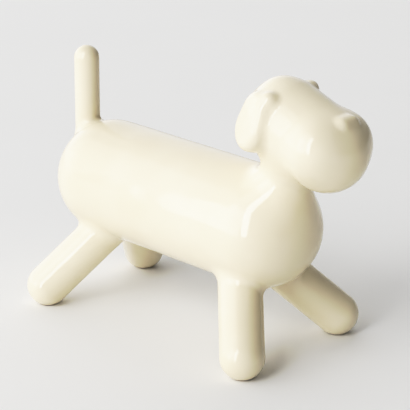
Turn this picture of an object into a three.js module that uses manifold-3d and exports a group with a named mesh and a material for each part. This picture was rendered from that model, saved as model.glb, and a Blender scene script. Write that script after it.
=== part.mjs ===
// A ceramic dog standing on four splayed legs, cast and glazed as one piece.
// Millimetres. +X is the way the dog looks, +Z is up, the floor is z = 0,
// and the dog is the same on both sides of the plane y = 0.
import * as THREE from "three";
import Module from "manifold-3d";

// The body is a tube with round ends, its rump a little higher than its chest.
const BODY_RADIUS = 30;
const RUMP = [-66.7, 0, 65.4];
const CHEST = [36.5, 0, 62.0];

// Each leg is a round bar from a point inside the body to a round foot.
const LEG_RADIUS = 11.1;
const FOOT_PRESSED = 1.0; // how much of each round foot the flat takes off
const FOOT_Z = LEG_RADIUS - FOOT_PRESSED;
const FRONT_HIP = [32.6, 12.1, 39.9];
const FRONT_FOOT = [55.8, 36.6, FOOT_Z];
const HIND_HIP = [-62.4, 12.6, 39.0];
const HIND_FOOT = [-81.5, 36.3, FOOT_Z];

// The tail stands straight up from the rump.
const TAIL_RADIUS = 6.65;
const TAIL_ROOT = [-86.2, 0, 82.9];
const TAIL_TIP = [-85.8, 0, 126.75];

// The head is a fat bar sloping down to a ball of a muzzle.
const SKULL = [48.7, 0, 126.5];
const SKULL_RADIUS = 13.85;
const JAW = [50.6, 0, 119.3];
const JAW_RADIUS = 20.6;
const MUZZLE = [75.85, 0, 109.4];
const MUZZLE_RADIUS = 19.75;
const CHEEK = [76.4, 9.0, 112.1]; // a bar across the muzzle, from here to the other side
const CHEEK_RADIUS = 14.75;
const NOSE = [86.2, 3.2, 124.3]; // a shorter bar across
const NOSE_RADIUS = 3.5;

// A short neck, mostly hidden, carries the head over the chest.
const NECK_RADIUS = 12.5;
const NECK_LOW = [48.85, 0, 80];
const NECK_HIGH = [54.85, 0, 112];

// Each ear is a thick soft-edged pad hanging down the side of the head, with a
// short bar at the front of the fold along its top.
const EAR_TOP = [46.25, 14.6, 124.9];
const EAR_TOP_RADIUS = 10.0;
const EAR_LOW = [44.2, 16.0, 117.4];
const EAR_LOW_RADIUS = 11.4;
const EAR_FOLD = [52.4, 15.0, 131.8];
const EAR_FOLD_RADIUS = 4.4;
const EAR_FACING = [-0.45, 1, 0.21]; // the way the pad's flat face looks
const EAR_HALF_THICKNESS = 5.9;
const EAR_EDGE_ROUNDING = 4.6;

// How far each join is smoothed over.
const LEG_BLEND = 5;
const TAIL_BLEND = 4.5;
const HEAD_BLEND = 1;
const CHEEK_BLEND = 4;
const NOSE_BLEND = 2.5;
const EAR_BLEND = 2.5;
const NECK_BLEND = 10;
const JAW_BLEND = 7;

// The skin is laid over a grid of cells, long along the straight of the body
// and small about the head.
const CELL = 4.2;
const LONG_CELL = 9;
const HEAD_CELL = 3.1;
const STRAIGHT_FROM = -50;
const STRAIGHT_TO = 22;
const HEAD_FROM = 38;
const HEAD_ABOVE = 103;
const MARGIN = 5;
const LENGTH_FROM = -96.7;
const LENGTH_TO = 96.75;
const HALF_WIDTH = 47.7;
const HEIGHT = 140.2;
const SETTLE_STEPS = 4;
const SLOPE_STEP = 0.01;

// Looks, read off the photograph.
const IVORY = 0xf2ebd8;
const GLAZE_ROUGHNESS = 0.12;

const minus = (p, q) => [p[0] - q[0], p[1] - q[1], p[2] - q[2]];
const dot = (p, q) => p[0] * q[0] + p[1] * q[1] + p[2] * q[2];
const size = (p) => Math.hypot(p[0], p[1], p[2]);
const unit = (p) => p.map((value) => value / size(p));
const mirror = (p) => [p[0], -p[1], p[2]];
const clamp = (value, low, high) => Math.min(Math.max(value, low), high);

// The lesser of two distances, with the corner between them smoothed over.
function blend(one, other, width) {
  const overlap = Math.max(width - Math.abs(one - other), 0) / width;
  return Math.min(one, other) - (overlap * overlap * width) / 4;
}

function bar(p, from, to, radius) {
  const along = minus(to, from);
  const offset = minus(p, from);
  const share = clamp(dot(offset, along) / dot(along, along), 0, 1);
  return size(minus(offset, along.map((value) => value * share))) - radius;
}

// Distance to two circles and their common tangents, in the plane of the axis.
function tapered(along, out, length, fromRadius, toRadius) {
  const sine = (fromRadius - toRadius) / length;
  const cosine = Math.sqrt(1 - sine * sine);
  const foot = along - (out * sine) / cosine;
  if (foot < 0) return Math.hypot(out, along) - fromRadius;
  if (foot > length) return Math.hypot(out, along - length) - toRadius;
  return out * cosine + along * sine - fromRadius;
}

function taperedBar(p, from, to, fromRadius, toRadius) {
  const axis = unit(minus(to, from));
  const offset = minus(p, from);
  const along = dot(offset, axis);
  const out = Math.sqrt(Math.max(dot(offset, offset) - along * along, 0));
  return tapered(along, out, size(minus(to, from)), fromRadius, toRadius);
}

// The pad of one ear, its rim rounded over; p has been folded to the ear's side.
function ear(p) {
  const down = unit(minus(EAR_LOW, EAR_TOP));
  const tilt = dot(EAR_FACING, down);
  const facing = unit(EAR_FACING.map((value, i) => value - tilt * down[i]));
  const offset = minus(p, EAR_TOP);
  const along = dot(offset, down);
  const through = dot(offset, facing);
  const across = Math.sqrt(Math.max(dot(offset, offset) - along * along - through * through, 0));
  const rim = tapered(along, across, size(minus(EAR_LOW, EAR_TOP)), EAR_TOP_RADIUS, EAR_LOW_RADIUS);
  const x = rim + EAR_EDGE_ROUNDING;
  const y = Math.abs(through) - EAR_HALF_THICKNESS + EAR_EDGE_ROUNDING;
  return Math.min(Math.max(x, y), 0) + Math.hypot(Math.max(x, 0), Math.max(y, 0)) - EAR_EDGE_ROUNDING;
}

function head(p, folded) {
  let reach = blend(
    taperedBar(p, SKULL, MUZZLE, SKULL_RADIUS, MUZZLE_RADIUS),
    taperedBar(p, JAW, MUZZLE, JAW_RADIUS, MUZZLE_RADIUS),
    HEAD_BLEND,
  );
  reach = blend(reach, bar(p, mirror(CHEEK), CHEEK, CHEEK_RADIUS), CHEEK_BLEND);
  reach = blend(reach, bar(p, mirror(NOSE), NOSE, NOSE_RADIUS), NOSE_BLEND);
  const fold = bar(folded, EAR_TOP, EAR_FOLD, EAR_FOLD_RADIUS);
  return blend(reach, blend(ear(folded), fold, EAR_BLEND), EAR_BLEND);
}

// Distance from a point to the skin of the whole dog, negative inside.
function dog(p) {
  const folded = [p[0], Math.abs(p[1]), p[2]];
  let reach = bar(p, RUMP, CHEST, BODY_RADIUS);
  reach = blend(reach, bar(folded, FRONT_HIP, FRONT_FOOT, LEG_RADIUS), LEG_BLEND);
  reach = blend(reach, bar(folded, HIND_HIP, HIND_FOOT, LEG_RADIUS), LEG_BLEND);
  reach = blend(reach, bar(p, TAIL_ROOT, TAIL_TIP, TAIL_RADIUS), TAIL_BLEND);
  reach = blend(reach, bar(p, NECK_LOW, NECK_HIGH, NECK_RADIUS), NECK_BLEND);
  return blend(reach, head(p, folded), JAW_BLEND);
}

// Evenly spaced stations from one value to another, no further apart than asked.
function stations(from, to, spacing) {
  const count = Math.ceil((to - from) / spacing - 1e-9);
  return Array.from({ length: count + 1 }, (_, i) => from + ((to - from) * i) / count);
}

// Moves a point down or up the slope of the distance until it lies on the skin.
function settle(point) {
  let p = point;
  for (let step = 0; step < SETTLE_STEPS; step++) {
    const slope = [0, 1, 2].map((axis) => {
      const ahead = p.map((value, i) => (i === axis ? value + SLOPE_STEP : value));
      const behind = p.map((value, i) => (i === axis ? value - SLOPE_STEP : value));
      return (dog(ahead) - dog(behind)) / (2 * SLOPE_STEP);
    });
    const move = dog(p) / dot(slope, slope);
    p = p.map((value, i) => value - move * slope[i]);
  }
  return p;
}

// One vertex in every cell the skin passes through, joined round every crossed edge.
function skin(axes) {
  const [nx, ny, nz] = axes.map((axis) => axis.length);
  const at = (i, j, k) => (i * ny + j) * nz + k;
  const values = new Float64Array(nx * ny * nz);
  for (let i = 0; i < nx; i++)
    for (let j = 0; j < ny; j++)
      for (let k = 0; k < nz; k++) values[at(i, j, k)] = dog([axes[0][i], axes[1][j], axes[2][k]]);

  const corners = [0, 1, 2, 3, 4, 5, 6, 7].map((c) => [c & 1, (c >> 1) & 1, (c >> 2) & 1]);
  const edges = [];
  corners.forEach((one, a) =>
    corners.forEach((other, b) => {
      if (b > a && size(minus(one, other)) === 1) edges.push([one, other]);
    }),
  );
  const vertices = [];
  const vertexOf = new Map();
  for (let i = 0; i < nx - 1; i++)
    for (let j = 0; j < ny - 1; j++)
      for (let k = 0; k < nz - 1; k++) {
        const sum = [0, 0, 0];
        let crossings = 0;
        for (const [one, other] of edges) {
          const a = values[at(i + one[0], j + one[1], k + one[2])];
          const b = values[at(i + other[0], j + other[1], k + other[2])];
          if (a < 0 === b < 0) continue;
          const share = a / (a - b);
          [i, j, k].forEach((index, axis) => {
            const low = axes[axis][index + one[axis]];
            const high = axes[axis][index + other[axis]];
            sum[axis] += low + (high - low) * share;
          });
          crossings++;
        }
        if (!crossings) continue;
        vertexOf.set(at(i, j, k), vertices.length);
        vertices.push(settle(sum.map((value) => value / crossings)));
      }

  const triangles = [];
  const span = (a, b) => size(minus(vertices[a], vertices[b]));
  for (let i = 1; i < nx - 1; i++)
    for (let j = 1; j < ny - 1; j++)
      for (let k = 1; k < nz - 1; k++)
        for (let axis = 0; axis < 3; axis++) {
          const here = [i, j, k];
          const step = [0, 1, 2].map((other) => Number(other === axis));
          const inside = values[at(i, j, k)] < 0;
          if (inside === values[at(i + step[0], j + step[1], k + step[2])] < 0) continue;
          const u = (axis + 1) % 3;
          const v = (axis + 2) % 3;
          const quad = [[1, 1], [0, 1], [0, 0], [1, 0]].map(([backU, backV]) => {
            const cell = [...here];
            cell[u] -= backU;
            cell[v] -= backV;
            return vertexOf.get(at(...cell));
          });
          if (!inside) quad.reverse();
          const [a, b, c, d] = quad;
          if (span(a, c) < span(b, d)) triangles.push(a, b, c, a, c, d);
          else triangles.push(a, b, d, b, c, d);
        }
  return { vertices, triangles };
}

const wasm = await Module();
wasm.setup();

function solid(positions, indices) {
  return new wasm.Manifold(
    new wasm.Mesh({
      numProp: 3,
      vertProperties: new Float32Array(positions),
      triVerts: new Uint32Array(indices),
    }),
  );
}

const alongX = [
  ...stations(LENGTH_FROM - MARGIN, STRAIGHT_FROM, CELL),
  ...stations(STRAIGHT_FROM, STRAIGHT_TO, LONG_CELL).slice(1, -1),
  ...stations(STRAIGHT_TO, HEAD_FROM, CELL).slice(0, -1),
  ...stations(HEAD_FROM, LENGTH_TO + MARGIN, HEAD_CELL),
];
const alongY = stations(-HALF_WIDTH - MARGIN, HALF_WIDTH + MARGIN, CELL);
const alongZ = [
  ...stations(-FOOT_PRESSED - MARGIN, HEAD_ABOVE, CELL).slice(0, -1),
  ...stations(HEAD_ABOVE, HEIGHT + MARGIN, HEAD_CELL),
];
const { vertices, triangles } = skin([alongX, alongY, alongZ]);

// The floor takes a flat off each foot.
const floor = new THREE.BoxGeometry(3 * LENGTH_TO, 4 * HALF_WIDTH, LEG_RADIUS);
floor.translate(0, 0, -LEG_RADIUS / 2);
floor.deleteAttribute("normal");
floor.deleteAttribute("uv");
const corner = new Map();
const floorPoints = [];
const floorPlace = floor.getAttribute("position");
const floorIndices = Array.from(floor.index.array, (index) => {
  const point = [floorPlace.getX(index), floorPlace.getY(index), floorPlace.getZ(index)];
  const key = point.join();
  if (!corner.has(key)) {
    corner.set(key, corner.size);
    floorPoints.push(...point);
  }
  return corner.get(key);
});
const standing = solid(vertices.flat(), triangles).subtract(solid(floorPoints, floorIndices));

const result = standing.getMesh();
const geometry = new THREE.BufferGeometry();
geometry.setAttribute("position", new THREE.BufferAttribute(result.vertProperties, 3));
geometry.setIndex(new THREE.BufferAttribute(result.triVerts, 1));
geometry.computeVertexNormals();
const glaze = new THREE.MeshStandardMaterial({
  color: IVORY,
  roughness: GLAZE_ROUGHNESS,
  metalness: 0,
});
const figure = new THREE.Mesh(geometry, glaze);
figure.name = "dog_figurine";

const group = new THREE.Group();
group.add(figure);
export default group;
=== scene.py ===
# %% [markdown]
# # A glazed ceramic dog
# The figure is cast in one piece: a tube of a body on four splayed legs, an upright tail, and a
# head with two hanging ears, all softened where they meet and dipped in one ivory glaze.
# This lesson writes its form as one formula, lets Geometry Nodes lay a fine skin over it, mixes
# the glaze from nodes, and lights it as a small studio would.
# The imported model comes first. It fixes every size, so nothing here has to be fitted by eye.

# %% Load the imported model
import math
import bpy
from mathutils import Matrix, Vector


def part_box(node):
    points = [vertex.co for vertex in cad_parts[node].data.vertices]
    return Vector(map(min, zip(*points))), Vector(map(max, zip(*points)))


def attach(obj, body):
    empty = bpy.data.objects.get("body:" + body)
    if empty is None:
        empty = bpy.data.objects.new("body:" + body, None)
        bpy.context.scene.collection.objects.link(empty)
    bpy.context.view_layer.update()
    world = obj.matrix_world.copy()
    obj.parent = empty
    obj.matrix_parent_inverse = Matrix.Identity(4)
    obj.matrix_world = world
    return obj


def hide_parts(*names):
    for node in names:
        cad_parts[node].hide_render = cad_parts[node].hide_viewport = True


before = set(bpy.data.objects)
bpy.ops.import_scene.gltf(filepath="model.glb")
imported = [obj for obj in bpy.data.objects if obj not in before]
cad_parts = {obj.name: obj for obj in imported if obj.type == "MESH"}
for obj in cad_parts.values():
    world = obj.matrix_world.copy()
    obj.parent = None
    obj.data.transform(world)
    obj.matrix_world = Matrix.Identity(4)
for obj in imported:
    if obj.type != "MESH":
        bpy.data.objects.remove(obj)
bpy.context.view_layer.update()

# %% [markdown]
# ## The sizes of the figure
# A potter would note down where each limb starts and ends and how fat it is, and that is all a
# form of round bars needs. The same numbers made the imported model. They are in millimetres,
# because one thinks of a figure of this size that way, and Blender gets them in metres.
# Points with a side to them are given for y above 0: the figure is the same on both sides.

# %% Sizes, in millimetres
MM = 0.001
POINTS = {
    "Rump": (-66.7, 0, 65.4),
    "Chest": (36.5, 0, 62.0),
    "Front Hip": (32.6, 12.1, 39.9),
    "Front Foot": (55.8, 36.6, 10.1),
    "Hind Hip": (-62.4, 12.6, 39.0),
    "Hind Foot": (-81.5, 36.3, 10.1),
    "Tail Root": (-86.2, 0, 82.9),
    "Tail Tip": (-85.8, 0, 126.75),
    "Neck Low": (48.85, 0, 80),
    "Neck High": (54.85, 0, 112),
    "Skull": (48.7, 0, 126.5),
    "Jaw": (50.6, 0, 119.3),
    "Muzzle": (75.85, 0, 109.4),
    "Cheek": (76.4, 9.0, 112.1),
    "Nose": (86.2, 3.2, 124.3),
    "Ear Top": (46.25, 14.6, 124.9),
    "Ear Low": (44.2, 16.0, 117.4),
    "Ear Fold": (52.4, 15.0, 131.8),
}
LENGTHS = {
    "Body Radius": 30,
    "Leg Radius": 11.1,
    "Tail Radius": 6.65,
    "Neck Radius": 12.5,
    "Skull Radius": 13.85,
    "Jaw Radius": 20.6,
    "Muzzle Radius": 19.75,
    "Cheek Radius": 14.75,
    "Nose Radius": 3.5,
    "Ear Top Radius": 10.0,
    "Ear Low Radius": 11.4,
    "Ear Fold Radius": 4.4,
    "Ear Half Thickness": 5.9,
    "Ear Edge Rounding": 4.6,
    "Leg Blend": 5,
    "Tail Blend": 4.5,
    "Head Blend": 1,
    "Cheek Blend": 4,
    "Nose Blend": 2.5,
    "Ear Blend": 2.5,
    "Neck Blend": 10,
    "Jaw Blend": 7,
    "Foot Edge": 1,
}
EAR_FACING = (-0.45, 1, 0.21)
print(len(POINTS), "points and", len(LENGTHS), "lengths describe the figure")

# %% [markdown]
# ## Formulas written as nodes
# A form like this can be made from metaballs, from a subdivision cage, or from a distance field:
# a formula that says how far any point is from the skin, negative inside. The field wins here,
# because its soft joins have an exact width and its skin is as smooth as it is fine.
# Hundreds of Math nodes are slow to place by hand, so this small class lets plain Python sums
# do it: every + or * on a Field adds one node to the tree that the Field belongs to.

# %% A socket that sums can be written with
def plug(socket, value):
    """Feeds an input socket from a Field, or sets it to a plain value."""
    if isinstance(value, Field):
        socket.id_data.links.new(value.socket, socket)
    else:
        socket.default_value = value


class Field:
    """An output socket. Arithmetic on it writes Math and Vector Math nodes."""

    def __init__(self, socket):
        self.socket = socket

    def node(self, kind, operation, *values):
        node = self.socket.id_data.nodes.new(kind)
        node.operation = operation
        for socket, value in zip(node.inputs, (self, *values)):
            plug(socket, value)
        return node

    def number(self, operation, *values):
        return Field(self.node("ShaderNodeMath", operation, *values).outputs["Value"])

    def vector(self, operation, *values, out="Vector"):
        return Field(self.node("ShaderNodeVectorMath", operation, *values).outputs[out])

    def sum(self, operation, other):
        is_vector = self.socket.type == "VECTOR"
        return self.vector(operation, other) if is_vector else self.number(operation, other)

    def __add__(self, other):
        return self.sum("ADD", other)

    def __sub__(self, other):
        return self.sum("SUBTRACT", other)

    def __mul__(self, other):
        return self.sum("MULTIPLY", other)

    def __truediv__(self, other):
        return self.sum("DIVIDE", other)

    def times(self, amount):
        node = self.node("ShaderNodeVectorMath", "SCALE")
        plug(node.inputs["Scale"], amount)
        return Field(node.outputs["Vector"])

    def dot(self, other):
        return self.vector("DOT_PRODUCT", other, out="Value")

    def length(self):
        return self.vector("LENGTH", out="Value")

    def unit(self):
        return self.vector("NORMALIZE")

    def positive(self):
        return self.number("ABSOLUTE")

    def at_least(self, other):
        return self.number("MAXIMUM", other)

    def at_most(self, other):
        return self.number("MINIMUM", other)

    def root(self):
        return self.at_least(0.0).number("SQRT")

    def parts(self):
        node = self.socket.id_data.nodes.new("ShaderNodeSeparateXYZ")
        plug(node.inputs[0], self)
        return [Field(output) for output in node.outputs]


def joined(x, y, z):
    """A vector Field from three numbers, the first of them a Field."""
    node = x.socket.id_data.nodes.new("ShaderNodeCombineXYZ")
    for socket, value in zip(node.inputs, (x, y, z)):
        plug(socket, value)
    return Field(node.outputs[0])


# %% [markdown]
# ## Node groups for round forms
# A formula that is used more than once becomes a node group with named inputs, just as it would
# become a function in Python. The figure needs four: the blend that smooths the corner where two
# forms meet, a tapered outline, a bar with round ends, and the soft-edged pad of an ear.

# %% A helper that turns a formula into a group
KINDS = {
    "number": "NodeSocketFloat",
    "vector": "NodeSocketVector",
    "material": "NodeSocketMaterial",
}


def make_group(name, inputs, formula, gives="number"):
    """A node group with these named inputs, whose Result is what the formula makes of them."""
    group = bpy.data.node_groups.new(name, "GeometryNodeTree")
    for title, kind in inputs.items():
        group.interface.new_socket(title, in_out="INPUT", socket_type=KINDS[kind])
    group.interface.new_socket("Result", in_out="OUTPUT", socket_type=KINDS[gives])
    entry = group.nodes.new("NodeGroupInput")
    leave = group.nodes.new("NodeGroupOutput")
    plug(leave.inputs["Result"], formula({title: Field(entry.outputs[title]) for title in inputs}))
    print(name, "has", len(group.nodes), "nodes")
    return group


def named(fields, titles):
    """The fields with these titles, in the form that use() takes them."""
    return {title.replace(" ", "_"): fields[title] for title in titles}


def use(group, tree, **values):
    """Puts a group into a tree and feeds its inputs, whose titles are the names given here."""
    node = tree.nodes.new("GeometryNodeGroup")
    node.node_tree = group
    for title, value in values.items():
        plug(node.inputs[title.replace("_", " ")], value)
    return Field(node.outputs["Result"])


# %% Blend: the lesser of two distances, with the corner between them smoothed over
def blend_formula(at):
    overlap = (at["Width"] - (at["One"] - at["Other"]).positive()).at_least(0.0)
    return at["One"].at_most(at["Other"]) - overlap * overlap / (at["Width"] * 4.0)


BLEND = make_group(
    "blend", {"One": "number", "Other": "number", "Width": "number"}, blend_formula
)


# %% Taper: two circles and their common tangents, for a point beside a straight axis
def taper_formula(at):
    widening = (at["To Radius"] - at["From Radius"]) / at["Length"]
    steep = (widening * widening * -1.0 + 1.0).root()
    foot = (at["Along"] + at["Out"] * widening / steep).at_least(0.0).at_most(at["Length"])
    gap = at["Along"] - foot
    return (gap * gap + at["Out"] * at["Out"]).root() - at["From Radius"] - foot * widening


TAPER = make_group(
    "taper",
    {title: "number" for title in ("Along", "Out", "Length", "From Radius", "To Radius")},
    taper_formula,
)


# %% Bar: the taper turned round its axis
def bar_formula(at):
    axis = at["To"] - at["From"]
    offset = at["Position"] - at["From"]
    along = offset.dot(axis.unit())
    out = (offset.dot(offset) - along * along).root()
    return use(
        TAPER,
        axis.socket.id_data,
        Along=along,
        Out=out,
        Length=axis.length(),
        From_Radius=at["From Radius"],
        To_Radius=at["To Radius"],
    )


BAR = make_group(
    "bar",
    {
        "Position": "vector",
        "From": "vector",
        "To": "vector",
        "From Radius": "number",
        "To Radius": "number",
    },
    bar_formula,
)


# %% Ear: a pad with the taper for its outline and its rim rounded over
def ear_formula(at):
    axis = at["Ear Low"] - at["Ear Top"]
    down = axis.unit()
    looks = joined(at["Side"], EAR_FACING[1], EAR_FACING[2])
    facing = (looks - down.times(looks.dot(down))).unit()
    offset = at["Position"] - at["Ear Top"]
    along = offset.dot(down)
    through = offset.dot(facing)
    across = (offset.dot(offset) - along * along - through * through).root()
    rim = use(
        TAPER,
        axis.socket.id_data,
        Along=along,
        Out=across,
        Length=axis.length(),
        From_Radius=at["Ear Top Radius"],
        To_Radius=at["Ear Low Radius"],
    )
    rounding = at["Ear Edge Rounding"]
    x = rim + rounding
    y = through.positive() - at["Ear Half Thickness"] + rounding
    outside = (x.at_least(0.0) * x.at_least(0.0) + y.at_least(0.0) * y.at_least(0.0)).root()
    return x.at_least(y).at_most(0.0) + outside - rounding


PAD = {
    "Ear Top": "vector",
    "Ear Low": "vector",
    "Ear Top Radius": "number",
    "Ear Low Radius": "number",
    "Ear Half Thickness": "number",
    "Ear Edge Rounding": "number",
}
EAR = make_group("ear", {"Position": "vector", "Side": "number"} | PAD, ear_formula)

# %% [markdown]
# ## The whole dog as one formula
# Now the figure is spelled out as a potter would build it: the body, legs pushed into it, the
# tail, a neck, and the head on top. Folding y to its positive side makes each leg and ear twice.
# Last, the floor takes a small flat off each foot.

# %% The dog's distance
def dog_formula(at):
    here = at["Position"]
    tree = here.socket.id_data
    x, y, z = here.parts()
    folded = joined(x, y.positive(), z)

    def bar(place, start, end, radius, to_radius=None):
        return use(
            BAR,
            tree,
            Position=place,
            From=at[start],
            To=at[end],
            From_Radius=at[radius],
            To_Radius=at[to_radius or radius],
        )

    def blend(one, other, width):
        return use(BLEND, tree, One=one, Other=other, Width=at[width])

    reach = bar(here, "Rump", "Chest", "Body Radius")
    reach = blend(reach, bar(folded, "Front Hip", "Front Foot", "Leg Radius"), "Leg Blend")
    reach = blend(reach, bar(folded, "Hind Hip", "Hind Foot", "Leg Radius"), "Leg Blend")
    reach = blend(reach, bar(here, "Tail Root", "Tail Tip", "Tail Radius"), "Tail Blend")
    reach = blend(reach, bar(here, "Neck Low", "Neck High", "Neck Radius"), "Neck Blend")

    head = blend(
        bar(here, "Skull", "Muzzle", "Skull Radius", "Muzzle Radius"),
        bar(here, "Jaw", "Muzzle", "Jaw Radius", "Muzzle Radius"),
        "Head Blend",
    )
    # The cheeks and the nose are bars too, laid straight across from one side to the other.
    for form in ("Cheek", "Nose"):
        bx, by, bz = (folded - at[form]).parts()
        across = joined(bx, by.at_least(0.0), bz).length() - at[form + " Radius"]
        head = blend(head, across, form + " Blend")
    ear = use(EAR, tree, Position=folded, Side=EAR_FACING[0], **named(at, PAD))
    ear = blend(ear, bar(folded, "Ear Top", "Ear Fold", "Ear Fold Radius"), "Ear Blend")
    head = blend(head, ear, "Ear Blend")
    reach = blend(reach, head, "Jaw Blend")
    return use(BLEND, tree, One=reach * -1.0, Other=z, Width=at["Foot Edge"]) * -1.0


SIZES = {title: "vector" for title in POINTS} | {title: "number" for title in LENGTHS}
DOG = make_group("dog distance", {"Position": "vector"} | SIZES, dog_formula)

# %% [markdown]
# ## Slope and settling
# The slope of the distance points straight out of the skin. Four samples round a point give it,
# and moving a point against it by the distance lands the point on the skin.

# %% The group that moves a point onto the skin
SLOPE_STEP = 0.05 * MM
CORNERS = ((1, -1, -1), (-1, -1, 1), (-1, 1, -1), (1, 1, 1))


def settle_formula(at):
    here = at["Position"]
    tree = here.socket.id_data
    sizes = named(at, SIZES)
    slope = None
    for corner in CORNERS:
        probe = here + tuple(SLOPE_STEP * way for way in corner)
        reach = use(DOG, tree, Position=probe, **sizes)
        pull = joined(reach * corner[0], reach * corner[1], reach * corner[2])
        slope = pull if slope is None else slope + pull
    slope = slope.times(1 / (len(CORNERS) * SLOPE_STEP))
    distance = use(DOG, tree, Position=here, **sizes)
    return here - slope.times(distance / slope.dot(slope))


SETTLE = make_group(
    "settle on the skin", {"Position": "vector"} | SIZES, settle_formula, gives="vector"
)

# %% [markdown]
# ## The skin
# A glaze lies over the clay as one skin without a seam. It could be a subdivided cage, but the
# formula already knows where the skin is. So Geometry Nodes sample the distance in a block of
# small cells, and Volume to Mesh lays quads where it changes sign.

# %% The tree and its inputs
CONTROLS = {
    "Cell": "number",
    "Pool Depth": "number",
    "Low Corner": "vector",
    "High Corner": "vector",
    "Glaze": "material",
}
tree = bpy.data.node_groups.new("glazed dog", "GeometryNodeTree")
for title, kind in (SIZES | CONTROLS).items():
    tree.interface.new_socket(title, in_out="INPUT", socket_type=KINDS[kind])
tree.interface.new_socket("Geometry", in_out="OUTPUT", socket_type="NodeSocketGeometry")
entry = tree.nodes.new("NodeGroupInput")
leave = tree.nodes.new("NodeGroupOutput")
given = {title: Field(entry.outputs[title]) for title in SIZES | CONTROLS}
sizes = named(given, SIZES)
here = Field(tree.nodes.new("GeometryNodeInputPosition").outputs["Position"])
print("the tree takes", len(given), "inputs")


# %% A block of distances, and a skin where they change sign
OUTSIDE_THE_BLOCK = -0.01


def step(kind, geometry=None, **values):
    """Adds a geometry node after the last one and gives its geometry output."""
    node = tree.nodes.new(kind)
    if geometry:
        tree.links.new(geometry, node.inputs[0])
    for title, value in values.items():
        plug(node.inputs[title.replace("_", " ")], value)
    return node.outputs[0]


def distance_at(place):
    return use(DOG, tree, Position=place, **sizes)


low, high = given["Low Corner"], given["High Corner"]
counts = [(side / given["Cell"]).number("CEIL") for side in (high - low).parts()]
block = step(
    "GeometryNodeVolumeCube",
    Density=distance_at(here) * -1.0,
    Background=OUTSIDE_THE_BLOCK,
    Min=low,
    Max=high,
    Resolution_X=counts[0],
    Resolution_Y=counts[1],
    Resolution_Z=counts[2],
)
skin = step("GeometryNodeVolumeToMesh", block, Threshold=0.0, Adaptivity=0.0)
print("up to the first skin:", len(tree.nodes), "nodes")

# %% [markdown]
# The first skin still shows the steps of its cells. Blurring the positions evens the quads out,
# and settling them again puts each corner back on the true form, so the glaze reflects without
# ripples. It takes two rounds of that and two last settlings.

# %% Even the quads out and settle them
EVENINGS = 2
BLUR_PASSES = 2
LAST_SETTLINGS = 2


def settled(geometry):
    target = use(SETTLE, tree, Position=here, **sizes)
    return step("GeometryNodeSetPosition", geometry, Position=target)


for evening in range(EVENINGS):
    skin = settled(skin)
    blur = tree.nodes.new("GeometryNodeBlurAttribute")
    blur.data_type = "FLOAT_VECTOR"
    plug(blur.inputs["Value"], here)
    plug(blur.inputs["Iterations"], BLUR_PASSES)
    skin = step("GeometryNodeSetPosition", skin, Position=Field(blur.outputs[0]))
for again in range(LAST_SETTLINGS):
    skin = settled(skin)
print("settled", EVENINGS + LAST_SETTLINGS, "times, with", EVENINGS, "blurs between")

# %% [markdown]
# Painted shade goes where the skin is hollow, as in the crease above a leg: the glaze is drawn a
# shade darker there. A hollow shows in the formula: the distance a little way off, averaged over
# four directions, is less there than the distance here, by half the square of the reach times
# the curvature. The tree stores that with the mesh, and the glaze reads it later to paint the
# shade. The tree's last two steps make the skin one plain mesh and give it the glaze.

# %% Store where the skin is hollow, as the mask for painted shade, and finish the tree
HOLLOW_REACH = 1.5 * MM
mean = None
for corner in CORNERS:
    part = distance_at(here + tuple(HOLLOW_REACH * way for way in corner)) * (1 / len(CORNERS))
    mean = part if mean is None else mean + part
hollowness = (distance_at(here) - mean) / given["Pool Depth"]
# The hollowness is kept with the mesh as the mask for the painted shade in the creases.
keep = tree.nodes.new("GeometryNodeStoreNamedAttribute")
keep.data_type = "FLOAT"
keep.domain = "POINT"
tree.links.new(skin, keep.inputs["Geometry"])
plug(keep.inputs["Name"], "painted_crease_shade")
plug(keep.inputs["Value"], hollowness.at_least(0.0).at_most(1.0))
skin = step("GeometryNodeSetShadeSmooth", keep.outputs["Geometry"], Shade_Smooth=True)
skin = step("GeometryNodeRealizeInstances", skin)
skin = step("GeometryNodeSetMaterial", skin, Material=given["Glaze"])
tree.links.new(skin, leave.inputs["Geometry"])
print("the tree has", len(tree.nodes), "nodes")

# %% [markdown]
# ## The glaze
# A thick glaze over buff clay: warm ivory, glossy, a little wavy where it ran, darkened in the
# creases by painted shade, and wiped off under the feet, where bare clay shows.
# It could be a coat over a clay shader, but a glaze this thick hides the clay, so one Principled
# shader carries it all. Noise on Object coordinates varies the ivory and bends the reflections,
# the tree's hollowness values say where shade is painted into the creases, and height finds the
# feet.

# %% A material and its helpers
def new_material(name):
    """A material with its Principled shader, and the Object coordinates as a starting point."""
    material = bpy.data.materials.new(name)
    material.use_nodes = True
    nodes = material.node_tree.nodes
    place = nodes.new("ShaderNodeTexCoord").outputs["Object"]
    return material, nodes["Principled BSDF"], place


def noise(place, size, detail=2.0):
    """Cloudy values from 0 to 1 whose blobs are about this size in metres."""
    node = place.id_data.nodes.new("ShaderNodeTexNoise")
    node.inputs["Scale"].default_value = 1 / size
    node.inputs["Detail"].default_value = detail
    place.id_data.links.new(place, node.inputs["Vector"])
    return node.outputs["Fac"]


def ramp(value, low, high):
    """0 below low, 1 above high, and an even climb between."""
    node = value.id_data.nodes.new("ShaderNodeMapRange")
    node.inputs["From Min"].default_value = low
    node.inputs["From Max"].default_value = high
    value.id_data.links.new(value, node.inputs["Value"])
    return node.outputs["Result"]


def mixed(share, one, other):
    """A colour or a number between two, by a share from 0 to 1."""
    tree = share.id_data
    node = tree.nodes.new("ShaderNodeMix")
    ends = (one, other)
    is_colour = any(isinstance(end, tuple) or getattr(end, "type", "") == "RGBA" for end in ends)
    node.data_type = "RGBA" if is_colour else "FLOAT"
    # The node has inputs and an output of its own for each kind: numbers first, colours third.
    pair, out = (node.inputs[6:8], 2) if is_colour else (node.inputs[2:4], 0)
    tree.links.new(share, node.inputs[0])
    for socket, end in zip(pair, ends):
        if isinstance(end, bpy.types.NodeSocket):
            tree.links.new(end, socket)
        else:
            socket.default_value = end
    return node.outputs[out]


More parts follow.
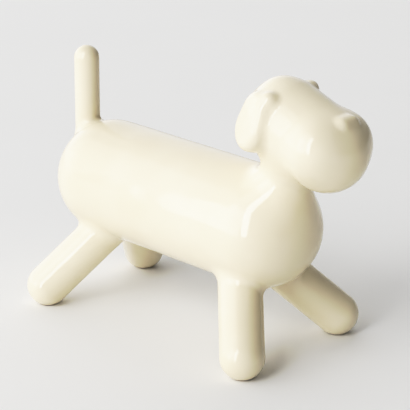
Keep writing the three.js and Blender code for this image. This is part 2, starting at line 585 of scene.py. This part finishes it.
def bumps(height, distance, before=None):
    """A normal bent by a height map, which may add to an earlier one."""
    tree = height.id_data
    node = tree.nodes.new("ShaderNodeBump")
    node.inputs["Distance"].default_value = distance
    tree.links.new(height, node.inputs["Height"])
    if before:
        tree.links.new(before, node.inputs["Normal"])
    return node.outputs["Normal"]


# %% Ivory, with painted shade in the creases
IVORY = (0.80, 0.721, 0.545, 1)
DEEPER_IVORY = (0.77, 0.686, 0.505, 1)
# The next colour is painted shade: a darker ivory laid into the hollows and creases.
CREASE_SHADE_COLOUR = (0.68, 0.595, 0.43, 1)
CLOUD_SIZE = 0.035
CLOUD_EDGES = (0.35, 0.65)
CREASE_SHADE_EDGES = (0.15, 1.0)
glaze, shader, place = new_material("ivory_glaze")
link = glaze.node_tree.links.new
cloud = ramp(noise(place, CLOUD_SIZE), *CLOUD_EDGES)
# The hollowness that the tree stored is the mask for the painted shade in the creases.
hollow = glaze.node_tree.nodes.new("ShaderNodeAttribute")
hollow.attribute_name = "painted_crease_shade"
crease_shade = ramp(hollow.outputs["Fac"], *CREASE_SHADE_EDGES)
ivory = mixed(crease_shade, mixed(cloud, IVORY, DEEPER_IVORY), CREASE_SHADE_COLOUR)
# The last colour printed is the painted shade of the creases.
print("ivory", IVORY[:3], "goes to", CREASE_SHADE_COLOUR[:3], "where it pools")

# %% Bare clay under the feet, behind a ragged edge of glaze
CLAY = (0.50, 0.36, 0.26, 1)
CLAY_ROUGHNESS = 0.85
RAGGED_SIZE = 0.003
RAGGED_HEIGHT = 0.0006
EDGE_HEIGHTS = (0.00005, 0.00030)
height = glaze.node_tree.nodes.new("ShaderNodeSeparateXYZ")
link(place, height.inputs[0])
ragged = glaze.node_tree.nodes.new("ShaderNodeMath")
ragged.operation = "MULTIPLY_ADD"
link(noise(place, RAGGED_SIZE), ragged.inputs[0])
ragged.inputs[1].default_value = -RAGGED_HEIGHT
link(height.outputs["Z"], ragged.inputs[2])
glazed = ramp(ragged.outputs[0], *EDGE_HEIGHTS)
link(mixed(glazed, CLAY, ivory), shader.inputs["Base Color"])
wiped = (EDGE_HEIGHTS[1] + RAGGED_HEIGHT) / MM
print("the glaze starts at most", round(wiped, 1), "mm above the floor")

# %% Gloss, waves and ripples
GLOSS_SIZE = 0.02
GLOSS_ROUGHNESS = (0.060, 0.100)
WAVE_SIZE, WAVE_HEIGHT = 0.019, 0.00030
RIPPLE_SIZE, RIPPLE_HEIGHT = 0.0016, 0.000006
gloss = mixed(noise(place, GLOSS_SIZE), *GLOSS_ROUGHNESS)
link(mixed(glazed, CLAY_ROUGHNESS, gloss), shader.inputs["Roughness"])
waves = bumps(noise(place, WAVE_SIZE, detail=1.0), WAVE_HEIGHT)
ripples = bumps(noise(place, RIPPLE_SIZE, detail=1.0), RIPPLE_HEIGHT, waves)
link(ripples, shader.inputs["Normal"])
print("ivory_glaze has", len(glaze.node_tree.nodes), "nodes")

# %% [markdown]
# ## From the tree to a mesh
# The tree sits on an empty carrier object as a modifier, which is where its named inputs get the
# sizes. What the modifier makes is then copied into a plain mesh of its own, so the figure no
# longer depends on the tree, and the carrier goes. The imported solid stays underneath, hidden, and
# the figure stands for it: same place, same box, a finer skin.

# %% Set the inputs and take the mesh
CELL = 1.0 * MM
HOLLOW_DEPTH = 0.5 * MM
MARGIN = Vector((2 * CELL, 2 * CELL, 2 * CELL))
figure_low, figure_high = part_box("dog_figurine")
carrier = bpy.data.objects.new("carrier", bpy.data.meshes.new("carrier"))
bpy.context.scene.collection.objects.link(carrier)
modifier = carrier.modifiers.new("glazed dog", "NODES")
modifier.node_group = tree
inputs = {title: [value * MM for value in point] for title, point in POINTS.items()}
inputs |= {title: length * MM for title, length in LENGTHS.items()}
inputs |= {"Cell": CELL, "Pool Depth": HOLLOW_DEPTH, "Glaze": glaze}
inputs |= {"Low Corner": Vector(figure_low) - MARGIN, "High Corner": Vector(figure_high) + MARGIN}
for item in tree.interface.items_tree:
    if item.in_out == "INPUT":
        modifier[item.identifier] = inputs[item.name]
depsgraph = bpy.context.evaluated_depsgraph_get()
mesh = bpy.data.meshes.new_from_object(carrier.evaluated_get(depsgraph))
bpy.data.objects.remove(carrier)
triangles = sum(len(face.vertices) - 2 for face in mesh.polygons)
print(len(mesh.vertices), "corners and", triangles, "triangles")

# %% Make it the figure
mesh.name = "dog"
mesh.materials.clear()
mesh.materials.append(glaze)
mesh.polygons.foreach_set("material_index", [0] * len(mesh.polygons))
dog = bpy.data.objects.new("dog", mesh)
bpy.context.scene.collection.objects.link(dog)
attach(dog, "root")
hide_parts("dog_figurine")
print("materials", [material.name for material in mesh.materials])

# %% [markdown]
# ## The paper it stands on
# A product shot stands on a roll of matt white paper. One large plane does for it, as nothing of
# its edge is in view. Real paper is never one flat tone, so a cloudy noise shifts the white by a
# hundredth and a fine one gives it a tooth.

# %% The floor and its paper
FLOOR_EDGE = 8
PAPER_WHITES = (0.825, 0.822, 0.814, 1), (0.815, 0.812, 0.804, 1)
PAPER_CLOUD_SIZE = 0.12
PAPER_CLOUD_EDGES = (0.3, 0.7)
FIBRE_SIZE, FIBRE_ROUGHNESS = 0.004, (0.88, 0.96)
TOOTH_SIZE, TOOTH_HEIGHT = 0.0015, 0.00002
PAPER_SPECULAR = 0.2
rim = [(x * FLOOR_EDGE, y * FLOOR_EDGE, 0.0) for x, y in ((-1, -1), (1, -1), (1, 1), (-1, 1))]
sheet = bpy.data.meshes.new("floor")
sheet.from_pydata(rim, [], [(0, 1, 2, 3)])
floor = bpy.data.objects.new("floor", sheet)
bpy.context.scene.collection.objects.link(floor)
paper, shader, place = new_material("white_paper")
link = paper.node_tree.links.new
cloud = ramp(noise(place, PAPER_CLOUD_SIZE), *PAPER_CLOUD_EDGES)
link(mixed(cloud, *PAPER_WHITES), shader.inputs["Base Color"])
link(mixed(noise(place, FIBRE_SIZE), *FIBRE_ROUGHNESS), shader.inputs["Roughness"])
shader.inputs["Specular IOR Level"].default_value = PAPER_SPECULAR
link(bumps(noise(place, TOOTH_SIZE), TOOTH_HEIGHT), shader.inputs["Normal"])
sheet.materials.append(paper)
print("white_paper has", len(paper.node_tree.nodes), "nodes")

# %% [markdown]
# ## The camera
# The camera looks down at the dog's right front from about 19 degrees above the table. Its three
# directions and the point it aims at were worked out from the outline of the figure, for a
# camera 0.85 m away, so they are written down as they are.

# %% The camera
RIGHT = Vector((0.7388, 0.6739, 0.0))
UP = Vector((-0.2224, 0.2438, 0.9439))
BACK = Vector((0.6361, -0.6974, 0.3300))
AIM_RIGHT, AIM_UP, AIM_BEHIND = 9.97, 57.70, 15.15
AIM = (AIM_RIGHT * RIGHT + AIM_UP * UP) * MM - Vector((AIM_BEHIND * MM, 0, 0))
AWAY = 850 * MM
LENS, SENSOR_WIDTH = 142.5, 36
camera = bpy.data.objects.new("camera", bpy.data.cameras.new("camera"))
bpy.context.scene.collection.objects.link(camera)
camera.data.lens = LENS
camera.data.sensor_width = SENSOR_WIDTH
turn = Matrix((RIGHT, UP, BACK)).transposed().to_4x4()
camera.matrix_world = Matrix.Translation(AIM + AWAY * BACK) @ turn
bpy.context.scene.camera = camera
print("the camera stands at", [round(value, 3) for value in camera.location])

# %% [markdown]
# ## Soft studio light
# A glossy glaze shows its lamps, so their places can be read off the figure: the long highlights
# down the muzzle and the chest mirror one narrow upright strip to the left of the camera, and
# the even sheen of the flank is a broad box beside it. That box carries on upwards at half the
# brightness, or its upper edge would draw a hard step across the head. A dim box behind and a
# glow from the room lift the far side. One more box hangs over the far paper, to keep it as pale
# as the near paper.
# A box is given by the directions that it fills, seen from the figure, and by how bright it
# looks. Its power follows from its size, so dimming one never moves its reflection.

# %% Softboxes
LIGHT_CENTRE = Vector((0, 0, 0.07))
LIGHT_DISTANCE = 3.6
# Name: the azimuths and the elevations that it fills, in degrees, and its brightness
BOXES = {
    "strip": ((-91, -77), (-2, 55), 8.0),
    "left_box": ((-132, -91), (-2, 42), 3.4),
    "left_box_top": ((-132, -91), (42, 62), 1.6),
    "back_box": ((-175, -132), (-2, 50), 0.8),
}
OVERHEAD_PLACE = Vector((-0.9, 1.0, 1.3))
OVERHEAD_SIZE = (1.2, 1.2)
OVERHEAD_BRIGHTNESS = 1.3
STRAIGHT_UP = Vector((0, 0, 1))


def towards(azimuth, elevation):
    """The direction of a point of the sky, azimuth counted from +x to +y, in degrees."""
    a, e = math.radians(azimuth), math.radians(elevation)
    return Vector((math.cos(a) * math.cos(e), math.sin(a) * math.cos(e), math.sin(e)))


def softbox(name, place, way, size, brightness):
    """An even panel at a place, with its back turned to a direction."""
    data = bpy.data.lights.new(name, "AREA")
    data.shape = "RECTANGLE"
    data.size, data.size_y = size
    data.energy = math.pi * data.size * data.size_y * brightness
    box = bpy.data.objects.new(name, data)
    bpy.context.scene.collection.objects.link(box)
    box.location = place
    box.rotation_euler = way.to_track_quat("Z", "Y").to_euler()
    box.visible_camera = False
    print(name, "%.2f by %.2f m, %.1f W" % (data.size, data.size_y, data.energy))
    return box


for name, (azimuths, elevations, brightness) in BOXES.items():
    azimuth, elevation = sum(azimuths) / 2, sum(elevations) / 2
    way = towards(azimuth, elevation)
    width, height = [2 * LIGHT_DISTANCE * math.tan(math.radians(b - a) / 2)
                     for a, b in (azimuths, elevations)]
    size = (width * math.cos(math.radians(elevation)), height)
    softbox(name, LIGHT_CENTRE + way * LIGHT_DISTANCE, way, size, brightness)
overhead = softbox(
    "overhead_box", OVERHEAD_PLACE, STRAIGHT_UP, OVERHEAD_SIZE, OVERHEAD_BRIGHTNESS
)
overhead.visible_glossy = False  # it lights the paper, and draws no line along the back

# %% [markdown]
# The room's glow is the light that comes back from its walls. It is painted on the sky as a few
# wide soft patches, each given by its direction and its brightness. A high power of the cosine
# of the angle from its middle fades each one out.

# %% The glow of the room
GLOWS = {
    (-145, 12): 0.70,
    (165, 12): 1.60,
    (130, 12): 0.90,
    (-50, 12): 0.90,
    (-145, 48): 0.55,
    (90, 48): 0.45,
}
GLOW_NARROWNESS = 6.0
room = bpy.data.worlds.new("room")
room.use_nodes = True
sky = room.node_tree.nodes["Background"]
way = Field(room.node_tree.nodes.new("ShaderNodeTexCoord").outputs["Generated"])
total = None
for (azimuth, elevation), brightness in GLOWS.items():
    share = way.dot(tuple(towards(azimuth, elevation))).at_least(0.0)
    glow = share.number("POWER", GLOW_NARROWNESS) * brightness
    total = glow if total is None else total + glow
plug(sky.inputs["Strength"], total)
sky.inputs["Color"].default_value = (1, 1, 1, 1)
bpy.context.scene.world = room
print("the room glows in", len(GLOWS), "patches")

# %% [markdown]
# ## How the picture is developed
# A camera doesn't clip at white: it eases bright tones in, so a highlight on a pale glaze keeps
# its shape. The plain view transform with a curve of a few points does the same.

# %% The tone curve
TONES = (
    (0.02, 0.0054),
    (0.05, 0.0195),
    (0.1, 0.0515),
    (0.2, 0.136),
    (0.3, 0.240),
    (0.4, 0.359),
    (0.5, 0.490),
    (0.56, 0.546),
    (0.718, 0.672),
    (0.82, 0.737),
    (0.903, 0.783),
    (1.11, 0.879),
    (1.32, 0.940),
    (1.6, 0.975),
    (2.2, 0.995),
)
BRIGHTEST = 3.0
ALL_CHANNELS = 3
view = bpy.context.scene.view_settings
view.view_transform = "Standard"
view.use_curve_mapping = True
curves = view.curve_mapping
curves.clip_max_x = BRIGHTEST + 1
curve = curves.curves[ALL_CHANNELS]
curve.points[0].location = (0, 0)
curve.points[1].location = (BRIGHTEST, 1)
for point in TONES:
    curve.points.new(*point)
curves.update()
print("the tone curve has", len(curve.points), "points")
